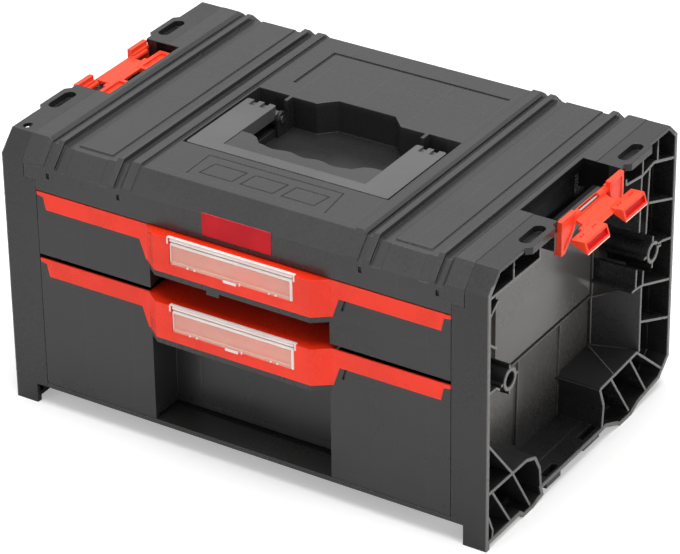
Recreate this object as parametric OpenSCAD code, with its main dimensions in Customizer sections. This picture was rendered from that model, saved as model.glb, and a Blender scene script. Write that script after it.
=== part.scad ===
// Portable tool box with two drawers, a fold-down carrying handle and a hooked latch on each side.
// X runs to the right, the drawers pull out towards -Y, and Z is up. The origin is the centre of the
// body's footprint, in the plane that the box stands on. All sizes are millimetres.

/* [Body] */
// Width over the two side frames
body_w = 450; // [430:1:500]
// Depth of the body, without the drawer handles
body_d = 300; // [280:1:340]
// Height over the top ridges
body_h = 244; // [236:1:290]
// Thickness of the moulded walls
wall = 3; // [2.4:0.1:3.6]
// Running gap between a moving piece and its surroundings
run_gap = 0.5; // [0.4:0.05:0.8]
// Gap at which one piece rests in another
seat_gap = 0.3; // [0.2:0.05:0.4]

/* [Top cover] */
// Depth of the front chamfer along Y
chamfer_run = 15.7; // [12:0.1:18]
// Height of the front chamfer
chamfer_rise = 16.2; // [12:0.1:18]
// Depth of the rear chamfer along Y
rear_run = 13.5; // [10:0.1:16]
// Height of the rear chamfer
rear_rise = 12.6; // [10:0.1:16]
// Thickness of the cover's skin
skin = 4; // [3:0.1:5]
// Half the width of the centre panel
centre_half = 99.8; // [98:0.1:103]
// Depth of the centre panel below the ridges
centre_drop = 2; // [1:0.1:3]
// Width of the ridge beside the centre panel
ridge_in_w = 7.5; // [5:0.1:9]
// Width of the groove beside that ridge
groove_in_w = 8.4; // [7:0.1:10]
// Width of the ridge beside the side panel
ridge_out_w = 5.2; // [4:0.1:7]
// Depth of the grooves
groove_drop = 4; // [3:0.1:4.5]
// Width of the flat border round each raised side panel
panel_border = 10; // [7:0.1:12]
// Depth of the raised side panel below the ridges
panel_drop = 3.4; // [2.8:0.1:3.6]
// Depth of the side panel's border below the ridges
border_drop = 4.4; // [4:0.1:5]
// Depth of the front rail's lower edge below the top
rail_drop = 41; // [36:0.5:49]
// Width of the slots that the grooves cut into the front rail
rail_slot_w = 3; // [2:0.1:4]

/* [Side frames] */
// Depth of the open recess in each side
recess_d = 41; // [36:0.5:44]
// Width of each front post
post_w = 32; // [28:0.5:34]
// Width of the strip on top that belongs to the side frame
strip_w = 21; // [19:0.5:24]
// Thickness of the rim round the recess
rim_t = 3.4; // [2.8:0.1:4.2]
// Thickness of the ribs in the recess
rib_t = 2; // [1.6:0.1:2.6]
// Height of the base plate's underside above the floor
base_z = 18; // [17.5:0.5:20]
// Thickness of the base plate
base_t = 4; // [3:0.1:5]
// Outer radius of the tubular side bosses
boss_r = 9.5; // [8.5:0.1:11]
// Bore radius of the side bosses
boss_bore_r = 6.5; // [5:0.1:7]
// Distance of the front bosses from the middle, along Y
boss_y = 116; // [112:0.5:120]
// Distance of the rear bosses from the middle, along Y
boss_rear_y = 114.5; // [112:0.5:118]
// Height of the bosses' centres above the floor
boss_z = 139; // [134:1:144]
// Length of each stacking slot
slot_l = 31; // [24:0.5:32]
// Width of each stacking slot
slot_w = 10.5; // [8:0.1:11]
// Depth of the stacking slots
slot_depth = 6; // [5:0.5:10]

/* [Handle] */
// Half the outer width of the handle
bail_half = 94; // [92:0.5:96]
// Width of each handle arm
arm_w = 27.7; // [26:0.1:29]
// Front edge of the handle, measured from the middle of the body
bail_front = 80; // [76:0.5:84]
// Depth of the handle's grip bar
bar_d = 12; // [10:0.5:14]
// Thickness of the handle
bail_t = 11.5; // [10:0.1:12.5]
// Distance of the handle's pivot behind the middle of the body
pivot_y = 12; // [11:0.5:13]
// Depth of the pivot below the handle's upper face
pivot_drop = 13; // [12:0.1:14]
// Radius of the hinge lugs at the ends of the handle's arms
lug_r = 6; // [5:0.1:6.5]
// Radius of the pivot pins
pivot_r = 2.45; // [2:0.05:3]
// Depth of the hand well below the centre panel
well_depth = 28; // [22:0.5:30]
// Clearance round the folded handle
bail_gap = 2; // [1.5:0.1:2.5]

/* [Latches] */
// Length of the latch pocket in each side
pocket_l = 100; // [96:1:104]
// Centre of the latch pocket, measured from the middle of the body
pocket_y = 3.2; // [0:0.1:6]
// Width of the latch pocket
pocket_w = 33; // [32:0.5:34]
// Depth of the latch's hinge axis below the top
latch_axis_drop = 9.5; // [9:0.1:10]
// Distance of that axis inside the body's side
latch_axis_in = 1.4; // [1:0.1:2]
// Reach of the latch from its axis to the tips of its hooks
latch_reach = 30.4; // [27:0.1:31]
// Half the width of the latch's middle plate
latch_half = 24; // [20:0.5:25]
// Half the width over the two hooks
hook_half = 48; // [42:0.5:48.5]
// Half the width of the notch between the hooks
notch_half = 12.5; // [9:0.5:14]
// Radius of the latch's barrel
barrel_r = 3; // [2.8:0.1:3.2]
// Radius of the latch's hinge pin
latch_pin_r = 1.25; // [1:0.05:1.5]
// Angle between the stowed and the hanging latch
latch_swing = 203; // [195:1:215]

/* [Drawers] */
// Height of the upper drawer's front
upper_front_h = 57; // [50:0.5:62]
// Gap between the two drawer fronts
drawer_gap = 4.2; // [3:0.1:6]
// Height of the red fascia along the sides
strip_h = 15.3; // [12:0.1:18]
// Height of the red fascia at the handle
bulge_h = 32.5; // [28:0.5:34]
// Projection of the drawer handle in front of the body
bulge_d = 10; // [8:0.5:12]
// Half the width of the handle's flat front
bulge_half = 73; // [68:0.5:78]
// Half the width of the finger recess
finger_half = 84; // [80:0.5:86]
// Depth of the finger recess
finger_d = 31; // [26:0.5:34]
// Thickness of the drawer trays' walls
tray_wall = 2.5; // [2:0.1:3]
// Height of the dark rim that shows below the red fascia
under_rim = 5; // [4:0.1:6]
// Thickness of the red fascia
fascia_t = 2; // [1.6:0.1:2.4]
// Half the width of the label window
window_half = 57; // [54:0.5:62]
// Height of the label window
window_h = 22.5; // [17:0.5:24]
// Thickness of the label window's pane
pane_t = 1; // [0.8:0.1:1.2]
// Radius of the label window's hinge bar
window_bar_r = 1.4; // [1.2:0.05:1.6]

/* [Fasteners] */
// Radius of the screw heads
screw_head_r = 4; // [3:0.1:5]
// Height of the screw heads
screw_head_h = 1.8; // [1.4:0.1:2.4]
// Radius of the screw shanks
screw_r = 1.8; // [1.4:0.1:2]

/* [Hidden] */

$fn = 48;
eps = 0.01;
far = 400;
black = [0.16, 0.16, 0.165];
dark = [0.11, 0.11, 0.115];
red = [0.86, 0.10, 0.06];
orange = [0.93, 0.26, 0.12];
clear = [0.95, 0.80, 0.78, 0.5];
steel = [0.75, 0.76, 0.78];

half_w = body_w / 2;
half_d = body_d / 2;
shoulder_z = body_h - chamfer_rise;
rail_z = body_h - rail_drop;
// The ribs, feet and screws are drawn for a body 300 deep and 244 high, and follow its size
ky = body_d / 300;
kz = body_h / 244;

// Stations across the top, as distances from the middle
ridge_in = centre_half + ridge_in_w;
ridge_out_in = ridge_in + groove_in_w;
panel_in = ridge_out_in + ridge_out_w;
wall_out = half_w - recess_d;
wall_in = wall_out - wall;
cover_half = half_w - strip_w;
outer_groove_out = wall_out + 3.8;
outer_groove_in = outer_groove_out - 9.5;
panel_out = outer_groove_in - 5;
post_in = half_w - post_w;
deck_drop = border_drop + wall;

// Heights of the drawers
front_t = 4.5;
floor_z = base_z + base_t;
upper_top = rail_z - 1.3;
upper_z = upper_top - upper_front_h;
lower_top = upper_z - drawer_gap;
lower_z = floor_z + run_gap;

// ---------------------------------------------------------------- outlines in the Y-Z plane

// Upper edge of the body in side view, lowered by a distance
function top_line(drop) = [
    [-half_d, shoulder_z - drop],
    [-half_d + chamfer_run, body_h - drop],
    [half_d - rear_run, body_h - drop],
    [half_d, body_h - rear_rise - drop]
];

// Everything above the lowered upper edge, which the cover's grooves and panels are cut with
module above(drop) {
    slope = chamfer_rise / chamfer_run;
    rear_slope = rear_rise / rear_run;
    over = 10;
    polygon([
        [-half_d - over, shoulder_z - drop - over * slope],
        [-half_d + chamfer_run, body_h - drop],
        [half_d - rear_run, body_h - drop],
        [half_d + over, body_h - rear_rise - drop - over * rear_slope],
        [half_d + over, body_h + over],
        [-half_d - over, body_h + over]
    ]);
}

// Shape in the Y-Z plane, given a thickness along X from x0 to x1
module along_x(x0, x1) {
    translate([x0, 0, 0])
        rotate([90, 0, 90])
            linear_extrude(x1 - x0)
                children();
}

// The same on both sides of the middle
module both_sides() {
    children();
    mirror([1, 0, 0]) children();
}

// Box between two corners
module box(low, high) {
    translate(low) cube(high - low);
}

// Strip of the given thickness between two points of the Y-Z plane
module rib_2d(a, b, t) {
    run = norm(b - a);
    translate(a)
        rotate(atan2(b[1] - a[1], b[0] - a[0]))
            translate([0, -t / 2])
                square([run, t]);
}

// Ribs along a chain of points
module chain_2d(points, t) {
    for (i = [0 : len(points) - 2]) rib_2d(points[i], points[i + 1], t);
}

// ---------------------------------------------------------------- top cover

well_half = bail_half - arm_w - 0.3;
bail_back = pivot_y + pivot_drop + 4;
deck_z = body_h - centre_drop;
bail_top = deck_z - 0.5;
bail_low = bail_top - bail_t;
pivot_z = bail_top - pivot_drop;
well_front = bail_front - bar_d - 2;
well_back = 28;
well_floor = deck_z - well_depth;
ear_in = well_half - 3.4;
ear_out = well_half - seat_gap;
recess_floor = pivot_z - lug_r - 1.5;

// Outline of the hand well, seen from above, grown by a distance
module well_2d(grow) {
    offset(delta = grow) polygon([
        [-well_half, -well_front], [well_half, -well_front], [well_half, well_back],
        [40, well_back], [27, well_back + 13], [-27, well_back + 13],
        [-40, well_back], [-well_half, well_back]
    ]);
}

// Recess that the folded handle lies in, seen from above
module bail_recess_2d(grow) {
    out = bail_half + bail_gap + grow;
    difference() {
        translate([-out, -bail_front - bail_gap - grow])
            square([2 * out, bail_front + bail_gap + bail_back + 2 * grow]);
        if (grow == 0)
            translate([-well_half, -well_front])
                square([2 * well_half, well_front + bail_back + 0.5]);
    }
}

module cover_skin() {
    difference() {
        along_x(-cover_half, cover_half)
            polygon(concat(top_line(0), [for (i = [3 : -1 : 0]) top_line(deck_drop)[i]]));
        // centre panel, side panels and their borders, and the grooves between them
        along_x(-centre_half, centre_half) above(centre_drop);
        both_sides() {
            along_x(panel_in, panel_out) above(panel_drop);
            along_x(panel_in, panel_in + panel_border) above(border_drop);
            along_x(panel_out - panel_border, panel_out) above(border_drop);
            along_x(ridge_in + 2.4, ridge_out_in) above(groove_drop);
            along_x(outer_groove_in, outer_groove_out - 3) above(groove_drop);
            sloped_wall(ridge_in, 4.7, 1);
            sloped_wall(outer_groove_out, 4.5, -1);
            box([panel_in, -half_d, body_h - border_drop], [panel_out, -half_d + chamfer_run + 6, body_h]);
        }
        panel_lines();
        // the side frames' strips lie beside the cover, on the same level
        both_sides() along_x(outer_groove_out, cover_half + 1) below_skin_2d();
    }
}

// Lines moulded into the centre panel: a deep one behind the hand well, and fine ones in front of the handle
module panel_lines() {
    deep = 1.4;
    fine = 0.7;
    x0 = -77.5;
    box([x0, 51 * ky, deck_z - deep], [x0 + 3, 114.5 * ky, deck_z + 1]);
    box([x0, 114.5 * ky - 3, deck_z - deep], [91, 114.5 * ky, deck_z + 1]);
    front = -125 * ky;
    back = -91 * ky;
    translate([0, 0, deck_z - fine]) linear_extrude(2) {
        rib_2d([-63, front], [-64, back], 1);
        rib_2d([-64.5, back], [61.5, back], 1);
        rib_2d([61, back], [65, front], 1);
        // three plain frames
        for (x = [-38, 0, 38]) translate([x, (front + back) / 2 - 2]) difference() {
            polygon([[-17, -9.5], [14, -9.5], [17, 9.5], [-14, 9.5]]);
            polygon([[-15.6, -8.5], [13.2, -8.5], [15.6, 8.5], [-13.2, 8.5]]);
        }
    }
}

// Room under the outer part of the cover, where the side frame's rim stands
module below_skin_2d() {
    polygon(concat(
        [[-half_d - 1, shoulder_z - skin - chamfer_rise / chamfer_run]],
        [for (i = [1 : 2]) top_line(skin)[i]],
        [[half_d + 1, body_h - rear_rise - skin - rear_rise / rear_run]],
        [[half_d + 1, rail_z - 20], [-half_d - 1, rail_z - 20]]
    ));
}

// Slanted wall of a groove, on the top and down the front chamfer
module sloped_wall(x, run, dir) {
    lean = atan2(chamfer_rise, chamfer_run);
    fall = groove_drop;
    translate([x, half_d, body_h])
        rotate([90, 0, 0])
            linear_extrude(body_d)
                polygon([[0, 0.6], [0, 0], [dir * run, -fall], [dir * run, 0.6]]);
    translate([x, -half_d + chamfer_run, body_h])
        rotate([90 + lean, 0, 0])
            linear_extrude(norm([chamfer_run, chamfer_rise]) + 4)
                polygon([[0, 0.6], [0, 0], [dir * run, -fall * cos(lean)], [dir * run, 0.6]]);
}

// Front rail above the drawers, with a tab that reaches in front of each post
module cover_rail() {
    difference() {
        union() {
            box([-post_in + seat_gap, -half_d, rail_z], [post_in - seat_gap, -half_d + wall, shoulder_z - groove_drop]);
            both_sides()
                box([post_in - 2, -half_d, rail_z + 9], [cover_half - seat_gap, -half_d + wall, shoulder_z - 0.5]);
            box([-wall_in, -half_d + wall - eps, rail_z + 16], [wall_in, -half_d + wall + 12, rail_z + 16 + wall]);
        }
        both_sides() {
            for (x = [ridge_in + 3.2, outer_groove_in + 0.6])
                box([x, -half_d - 1, shoulder_z - 12.5], [x + rail_slot_w, -half_d + 2, shoulder_z]);
        }
        box([-ridge_in, -half_d - 1, shoulder_z - centre_drop - 1.6], [ridge_in, -half_d + 0.9, shoulder_z - centre_drop - 0.2]);
    }
}

// Tray under the centre panel that holds the folded handle, with the hand well in its middle
module handle_tray() {
    difference() {
        union() {
            translate([0, 0, recess_floor - wall])
                linear_extrude(deck_z - 1 - recess_floor + wall)
                    bail_recess_2d(wall);
            translate([0, 0, well_floor - wall])
                linear_extrude(deck_z - 1 - well_floor + wall)
                    well_2d(wall);
        }
        translate([0, 0, recess_floor]) linear_extrude(far) bail_recess_2d(0);
        translate([0, 0, well_floor]) linear_extrude(far) well_2d(0);
    }
    both_sides() handle_ear();
}

// Ear that carries one end of the handle's pivot
module handle_ear() {
    difference() {
        union() {
            translate([ear_in, pivot_y, pivot_z])
                rotate([0, 90, 0]) cylinder(r = lug_r + 1, h = ear_out - ear_in);
            box([ear_in, pivot_y - lug_r - 1, well_floor - 1], [ear_out, pivot_y + lug_r + 1, pivot_z]);
        }
        translate([ear_in - 1, pivot_y, pivot_z])
            rotate([0, 90, 0]) cylinder(r = pivot_r + 0.05, h = 20);
    }
    // web that ties the ear to the well's side
    box([ear_out - eps, pivot_y - lug_r - 1, well_floor - 1], [well_half + eps, pivot_y + lug_r + 1, recess_floor]);
    // wall between the well and the pocket behind the handle's arm
    box([well_half - 3, pivot_y + lug_r + 2, well_floor - 1], [well_half, bail_back + 1, deck_z]);
}

module top_cover() {
    color(black) difference() {
        union() {
            difference() {
                cover_skin();
                translate([0, 0, body_h - deck_drop - 1]) linear_extrude(far) bail_recess_2d(0);
                translate([0, 0, body_h - deck_drop - 1]) linear_extrude(far) well_2d(0);
            }
            cover_rail();
            handle_tray();
        }
        both_sides() latch_pocket_cut();
        cover_screw_places() screw_bore(cover_screw_l + 0.4);
    }
}

// ---------------------------------------------------------------- side frames

// Side view of a frame: front leg, lugs on the underside, chamfered rear corner
foot_points = [
    [150, 24.5], [134, 9.8], [98, 5.6], [86, 0], [66, 0], [60, 3.8], [41.5, 11.4], [37.5, 11],
    [-62.5, 11], [-60, 3.4], [-67, 2.6], [-76, 0], [-92.5, 0], [-98, 5.2], [-145, 4.8]
];

function foot_line(lug) = [for (p = foot_points) [p[0] * ky, max(p[1], lug)]];

module frame_outline(drop, lug) {
    polygon(concat(top_line(drop), foot_line(lug), [[-half_d + 5, lug], [-half_d, lug]]));
}

module frame_rim(drop, lug, thickness) {
    rim_step(drop, lug, drop, lug, thickness);
}

// The same, from one level down to the inner face of another
module rim_step(drop, lug, low_drop, low_lug, thickness) {
    difference() {
        frame_outline(drop, lug);
        offset(delta = -thickness) frame_outline(low_drop, low_lug);
    }
}

// Ribs of the side recess, drawn in the plane of its rim
module rib_pattern() {
    rear = 149;
    front = -149;
    scale([ky, kz]) difference() {
        union() {
            // thick ribs that outline the two foot boxes and the shoulders
            chain_2d([[65, 228], [65, 223], [92, 219], [112, 222], [rear, 210]], rib_t * 1.2);
            chain_2d([[93, 55.5], [31, 52.5], [38, 34], [36, 12]], rib_t * 1.4);
            chain_2d([[front, 51], [-87.5, 50], [-74, 45], [-66, 31], [-64, 12]], rib_t * 1.4);
            chain_2d([[front, 224], [-72, 223]], rib_t * 1.2);
            // uprights and struts round the rear boss, which stands clear of them
            rib_2d([117.5, 221], [117.5, 242], rib_t);
            rib_2d([92.5, 219], [92.5, 242], rib_t);
            rib_2d([104.6, 221], [101.8, 162], rib_t);
            rib_2d([91.5, 219], [90.1, 168.5], rib_t);
            rib_2d([105, 188.5], [rear, 172.5], rib_t);
            chain_2d([[(boss_rear_y + 5.5) / ky, (boss_z + 3.8) / kz], [131.5, 141.5], [rear, 136.5]], rib_t);
            rib_2d([87.6, 135.4], [87, 117], rib_t);
            rib_2d([99.4, 128.8], [98.7, 116], rib_t);
            chain_2d([[81, 117.6], [86.5, 117.8], [98.7, 115.9], [144.6, 99.3], [rear, 99.2]], rib_t);
            rib_2d([98, 82], [rear, 61.5], rib_t);
            rib_2d([93, 55.5], [141, 15], rib_t);
            rib_2d([81, 54.7], [112, 9], rib_t);
            rib_2d([49, 53.5], [82, 6], rib_t);
            // struts of the front corner
            rib_2d([front, 97.5], [-110, 51], rib_t);
            rib_2d([-110, 51], [-81, 5], rib_t);
            rib_2d([-141, 50.5], [-110, 5], rib_t);
            rib_2d([front, 36], [-139, 14], rib_t);
            rib_2d([-139, 14], [-141, 4], rib_t);
            rib_2d([-112, 224], [-112, 242], rib_t);
            rib_2d([-72, 222], [-72, 242], rib_t);
            // struts at the front post
            chain_2d([[front, 141.5], [-(boss_y + 20) / ky, (boss_z + 2) / kz], [-(boss_y + 15) / ky, (boss_z - 2) / kz]], rib_t);
            rib_2d([front, 206], [-134, 217], rib_t);
            rib_2d([front, 186], [-136, 176], rib_t);
        }
    }
}

// Bosses' centres along Y
boss_places = [-boss_y, boss_rear_y];

// Everything that belongs to a boss, cut out of the ribs with a little room
module boss_room_2d() {
    for (y = boss_places) translate([y, boss_z]) circle(r = boss_r + 0.1);
}

module boss_tube_2d() {
    for (y = boss_places) translate([y, boss_z]) circle(r = boss_r);
}

module boss_bore_2d() {
    for (y = boss_places) translate([y, boss_z]) circle(r = boss_bore_r);
}

// Four webs round a boss, as long as given at the rim and at the wall
module boss_webs(y, tip, root) {
    plan = [[wall_out, 0], [half_w - 0.4, 0], [half_w - 0.4, boss_r + tip], [wall_out, boss_r + root]];
    for (s = [-1, 1]) {
        translate([0, y, boss_z - rib_t / 2])
            linear_extrude(rib_t) polygon([for (p = plan) [p[0], s * p[1]]]);
        translate([0, y + rib_t / 2, boss_z])
            rotate([90, 0, 0]) linear_extrude(rib_t) polygon([for (p = plan) [p[0], s * p[1]]]);
    }
}

// Tubular bosses that stand on the side wall, each with its webs
module side_bosses() {
    difference() {
        union() {
            along_x(wall_out, half_w) boss_tube_2d();
            boss_webs(-boss_y, 3.5, 5);
            boss_webs(boss_rear_y, 5, 7);
        }
        along_x(wall_out - 1, half_w + 1) boss_bore_2d();
        // the webs stop at the ribs beside them
        along_x(wall_out - 1, half_w + 1) offset(delta = 0.1) rib_pattern();
    }
}

// Stadium-shaped slot that takes a lug of the box above
module stacking_slot_2d(grow) {
    span = slot_l - slot_w;
    for (s = [-1, 1]) translate([0, s * span / 2]) circle(r = slot_w / 2 + grow);
    square([slot_w + 2 * grow, span], center = true);
}

slot_x = half_w - 6;
slot_places = [pocket_y - 78, pocket_y + 78];

// Swelling of the rim beside a stacking slot, seen from above
module rim_bulge(y) {
    reach = 4.2;
    half = 21;
    translate([half_w - 3, y, body_h - 6.5])
        linear_extrude(6.2)
            polygon([[0, -half], [3, -half], [3 + reach, -half + reach], [3 + reach, half - reach], [3, half], [0, half]]);
}

pocket_in = half_w - pocket_w;
axis_x = half_w - latch_axis_in;
axis_z = body_h - latch_axis_drop;
ledge_top = axis_z - 1.3;
ledge_out = half_w - 2.5;
bar_in = half_w - 14;
bar_top = axis_z - 8.5;

// Opening for the latch, through the strip and open to the side
module latch_pocket_cut() {
    box([pocket_in, pocket_y - pocket_l / 2, bar_top - 20],
        [half_w + 10, pocket_y + pocket_l / 2, body_h + 1]);
}

// Inner wall of a side, with the flanges, rails and stops inside it
module side_wall() {
    difference() {
        union() {
            along_x(wall_in, wall_out) frame_outline(deck_drop, 4);
            recess_relief();
            // stop behind the drawer fronts
            box([wall_in, -half_d + front_t + 1, base_z], [wall_out, -half_d + front_t + wall + 1, rail_z + 8]);
            drawer_rails();
            // flanges that the cover, the back panel and the base plate are screwed to
            box([wall_in - 15, -half_d + 20, body_h - deck_drop - 3], [wall_in + eps, half_d - 20, body_h - deck_drop]);
            box([wall_in - 15, half_d - wall - 5, base_z + 8], [wall_in + eps, half_d - wall, body_h - 30]);
            box([wall_in - 15, -half_d + 20, base_z - 4], [wall_in + eps, half_d - 12, base_z]);
        }
        front_rebate();
        back_screw_places() screw_bore(8);
        cover_screw_places() screw_bore(8);
        base_screw_places() screw_bore(8);
    }
}

// Raised field on the outside of the wall, the bead round it, and two upright beads below
module recess_relief() {
    along_x(wall_out - eps, wall_out + 3.5) scale([ky, kz]) {
        polygon([[-74, 107.5], [78, 107.5], [78, 206], [-74, 206]]);
        chain_2d([[-74, 103.5], [83, 103.5]], rib_t);
        chain_2d([[83, 102.5], [83, 170]], rib_t);
    }
    along_x(wall_out - eps, wall_out + 2) upright_beads_2d(3);
}

module upright_beads_2d(t) {
    scale([ky, kz]) {
        rib_2d([-33, 103], [-36, 24], t);
        rib_2d([34, 103], [30.5, 17], t);
    }
}

// Room for the drawer fronts, the cover's rail and the base plate's lip
module front_rebate() {
    box([wall_in - 10, -half_d - 1, base_z], [post_in, -half_d + front_t + 1, rail_z]);
    box([wall_in - 10, -half_d - 1, -1], [cover_half, -half_d + 24, base_z]);
    box([wall_in - 10, -half_d - 1, rail_z - 1], [post_in, -half_d + wall + seat_gap, body_h]);
    box([wall_in - 10, -half_d - 1, rail_z + 9 - seat_gap], [cover_half + seat_gap, -half_d + wall + seat_gap, body_h]);
}

// Clip slots: distance from the middle along X and Y, and half the length
clip_slots = [[half_w - 5.8, -42 * ky, 10], [half_w - 7.5, 23.2 * ky, 11.5]];

// Upright web that runs slantwise from the wall to the rim below the rear boss
module slanted_web() {
    hull() {
        box([wall_out, 82.2 * ky, 54.5 * kz], [wall_out + 0.4, 84.2 * ky, 101 * kz]);
        box([half_w - 0.8, 96 * ky, 54.5 * kz], [half_w - 0.4, 98 * ky, 116 * kz]);
    }
}

// Rim of a side, with its ribs, stacking slots, lugs and legs
module side_rim() {
    strip_drop = 0.3;
    inner_t = rim_t + 0.25;
    pocket_ends = [pocket_y - pocket_l / 2 - 3, pocket_y + pocket_l / 2];
    difference() {
        union() {
            // full height outside the cover's edge, lower where the cover lies on the rim
            along_x(cover_half + 1, half_w) frame_rim(strip_drop, 0, rim_t);
            along_x(cover_half, cover_half + 2) rim_step(strip_drop, 0, skin, 4, inner_t);
            along_x(outer_groove_out, cover_half + 1) frame_rim(skin, 4, inner_t);
            along_x(wall_out, outer_groove_out + rim_t) frame_rim(deck_drop, 4, inner_t);
            // the ribs stand on the inner wall
            along_x(wall_out, half_w - 0.4) intersection() {
                rib_pattern();
                frame_outline(deck_drop, 4);
            }
            slanted_web();
            along_x(cover_half, half_w - 0.4) intersection() {
                rib_pattern();
                frame_outline(strip_drop + 1, 0);
            }
            // post in front of the stop for the drawer fronts
            box([wall_out, -half_d + front_t + 1, base_z], [post_in + wall, -half_d + front_t + wall + 1, rail_z + 8]);
            box([post_in, -half_d + 0.5, base_z], [post_in + wall, -half_d + front_t + wall + 1, rail_z + 8]);
            // walls of the stacking slots, and the swollen rim beside them
            for (y = slot_places) {
                translate([slot_x, y, body_h - slot_depth - 2]) linear_extrude(slot_depth + 1) stacking_slot_2d(2);
                rim_bulge(y);
            }
            // walls at the pocket's ends
            for (y = pocket_ends) {
                box([outer_groove_out + seat_gap, y, bar_top - 8], [half_w - 0.5, y + 3, body_h - skin - seat_gap]);
                box([cover_half + seat_gap, y, bar_top - 8], [half_w - 0.5, y + 3, body_h - 1]);
            }
        }
        // the bosses and the wall's beads have room among the ribs
        along_x(wall_out - 1, half_w + 1) boss_room_2d();
        along_x(wall_out - 1, wall_out + 3.6) scale([ky, kz]) translate([-80, 101.5]) square([164.2, 70]);
        along_x(wall_out - 1, wall_out + 2.1) upright_beads_2d(3.4);
        for (y = slot_places)
            translate([slot_x, y, body_h - slot_depth]) linear_extrude(far) stacking_slot_2d(0);
        latch_pocket_cut();
        front_rebate();
        // clip slots in the floor of the recess, for the hooks of the box below
        for (c = clip_slots) box([c[0] - 3, c[1] - c[2], 0], [c[0] + 3, c[1] + c[2], 20]);
    }
    // closed cups under the clip slots
    for (c = clip_slots) difference() {
        box([c[0] - 4.5, c[1] - c[2] - 1.5, 4.8], [c[0] + 4.5, c[1] + c[2] + 1.5, 12]);
        box([c[0] - 3, c[1] - c[2], 6.2], [c[0] + 3, c[1] + c[2], 20]);
    }
    // bar under the latch, with the raised ledge that carries its hinge
    box([bar_in, pocket_ends[0] + 1, bar_top - 7], [ledge_out, pocket_ends[1] + 2, bar_top]);
    box([bar_in, pocket_y - 32, bar_top - eps], [ledge_out - 2, pocket_y + 32, ledge_top]);
}

// Rails on the inside that carry the drawers
module drawer_rails() {
    for (z = [upper_top - 16, lower_top - 22]) {
        box([wall_in - 3.4, -half_d + 12, z - 3], [wall_in + eps, half_d - 12, z]);
        box([wall_in - 3.4, -half_d + 12, z + 4], [wall_in + eps, half_d - 12, z + 6.5]);
    }
}

module side_bosses_left() {
    color(black) mirror([1, 0, 0]) side_bosses();
}

module side_bosses_right() {
    color(black) side_bosses();
}

module side_rim_right() {
    color(black) side_rim();
}

module side_rim_left() {
    color(black) difference() {
        mirror([1, 0, 0]) side_rim();
        // small hanging hole, on this side only
        translate([-half_w + 9, -half_d + 24.5, body_h - 12])
            linear_extrude(20) scale([0.8, 1]) circle(r = 4.5);
    }
}

// ---------------------------------------------------------------- back and base

module back_panel() {
    top = body_h - rear_rise - deck_drop;
    color(black) {
        difference() {
            box([-wall_in + seat_gap, half_d - wall, base_z], [wall_in - seat_gap, half_d, top - seat_gap]);
            back_screw_places() screw_bore(8);
        }
        for (x = [-120 : 60 : 120])
            box([x - rib_t / 2, half_d - wall - 4, base_z + 6], [x + rib_t / 2, half_d - wall + eps, top - 8]);
    }
}

module base_plate() {
    inset = wall_in - seat_gap;
    color(black) difference() {
        union() {
            box([-inset, -half_d + front_t, base_z], [inset, half_d - wall - seat_gap, floor_z]);
            box([-post_in + seat_gap, -half_d, base_z], [post_in - seat_gap, -half_d + front_t + 1 - seat_gap, floor_z]);
            for (x = [-120, 0, 120]) box([x - rib_t / 2, -half_d + 24, base_z - 6], [x + rib_t / 2, half_d - 24, base_z + eps]);
            for (y = [-90, 0, 90]) box([-inset + 16, y - rib_t / 2, base_z - 6], [inset - 16, y + rib_t / 2, base_z + eps]);
        }
        base_screw_places() screw_bore(base_screw_l + 0.2);
    }
}

// ---------------------------------------------------------------- handle

module handle_bail() {
    ends = pivot_y - 3;
    color(dark) difference() {
        union() {
            translate([0, 0, bail_low]) linear_extrude(bail_t) {
                offset(r = 2) offset(delta = -2)
                    difference() {
                        translate([-bail_half, -bail_front]) square([2 * bail_half, bail_front + ends]);
                        translate([-bail_half + arm_w, -bail_front + bar_d])
                            square([2 * (bail_half - arm_w), bail_front + ends]);
                    }
            }
            both_sides()
                translate([bail_half - arm_w, pivot_y, pivot_z])
                    rotate([0, 90, 0]) cylinder(r = lug_r, h = arm_w - 6);
        }
        // bore for the pivot pin, and the moulding's hollow underside
        both_sides() {
            translate([bail_half - arm_w - 1, pivot_y, pivot_z])
                rotate([0, 90, 0]) cylinder(r = pivot_r + 0.05, h = 16);
            box([bail_half - arm_w + 3, -bail_front + 3, bail_low - 1], [bail_half - 3, pivot_y - 14, bail_low + bail_t - 4]);
        }
        box([-bail_half + arm_w - 10, -bail_front + 3, bail_low - 1], [bail_half - arm_w + 10, -bail_front + bar_d - 3, bail_low + bail_t - 4]);
        // two short slots that run in from the end of each arm
        both_sides() for (x = [bail_half - 9, bail_half - 19])
            box([x - 2.5, ends - 9, bail_top - 2.5], [x + 2.5, ends + 1, bail_top + 1]);
    }
}

// Finger grip inside the handle, with a shallow wave for the fingers
module handle_grip() {
    half = bail_half - arm_w - seat_gap;
    front = -bail_front + bar_d + seat_gap;
    wave = 1.4;
    span = half - 23;
    back = front + 26;
    color(dark) translate([0, 0, bail_low + 0.5]) linear_extrude(bail_t - 1) polygon(concat(
        [[-half, front], [half, front], [half, back], [half - 9, back], [half - 16, back - 3]],
        [for (i = [0 : 24]) let (x = span - i * 2 * span / 24) [x, back - 12 - wave * cos(x * 540 / span)]],
        [[-half + 16, back - 3], [-half + 9, back], [-half, back]]
    ));
}

module handle_pins() {
    color(steel) both_sides() {
        translate([ear_in - 0.6, pivot_y, pivot_z]) rotate([0, 90, 0]) cylinder(r = pivot_r, h = 18);
        translate([ear_in - 0.9, pivot_y, pivot_z]) rotate([0, 90, 0]) cylinder(r = pivot_r + 1, h = 0.6);
    }
}

// ---------------------------------------------------------------- latches

knuckle_in = latch_half + 0.8;
knuckle_out = 45;
ear_front = 27;
bracket_out = pocket_l / 2 - 0.5;

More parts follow.
